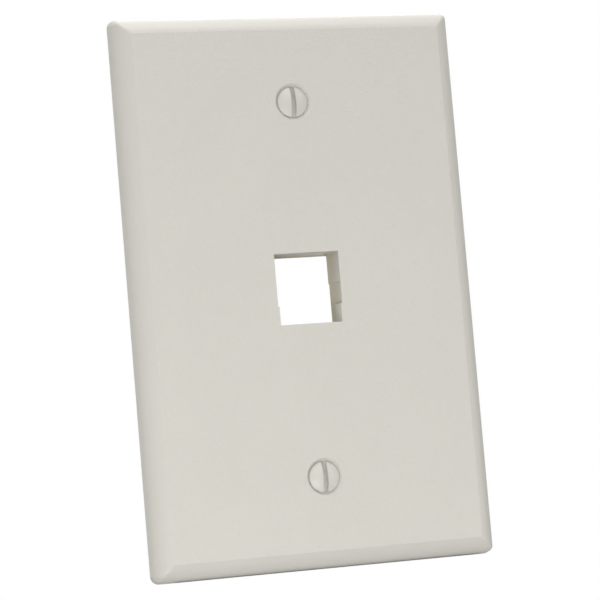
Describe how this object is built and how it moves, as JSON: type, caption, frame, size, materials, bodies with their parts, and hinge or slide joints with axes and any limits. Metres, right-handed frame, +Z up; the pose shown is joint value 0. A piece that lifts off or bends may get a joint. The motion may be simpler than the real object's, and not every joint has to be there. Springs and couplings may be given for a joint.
{
  "type": "wall plate",
  "caption": "Flat rectangular wall plate with rounded edges, a square opening for a snap-in keystone jack and oval-head mounting screws.",
  "frame": {"origin": "centre of the plate, on the wall surface that its back edge rests on", "axes": "+Z up the plate, +X to the right seen from the room, -Y out of the visible face into the room"},
  "size_m": [0.0794, 0.0266, 0.1238],
  "materials": {
    "moulded_plastic": "light almond grey, fine spark-eroded texture, soft satin",
    "screw_finish": "head painted to match the plate, zinc-plated thread"
  },
  "bodies": {
    "plate": {"wall_plate": "moulded_plastic"},
    "upper_screw": {"upper_mounting_screw": "screw_finish"},
    "lower_screw": {"lower_mounting_screw": "screw_finish"}
  },
  "joints": [
    {"name": "upper_screw_travel", "type": "slide", "parent": "plate", "child": "upper_screw", "axis": [0, -1, 0], "range_m": [0, 0.03]},
    {"name": "lower_screw_travel", "type": "slide", "parent": "plate", "child": "lower_screw", "axis": [0, -1, 0], "range_m": [0, 0.03]}
  ]
}
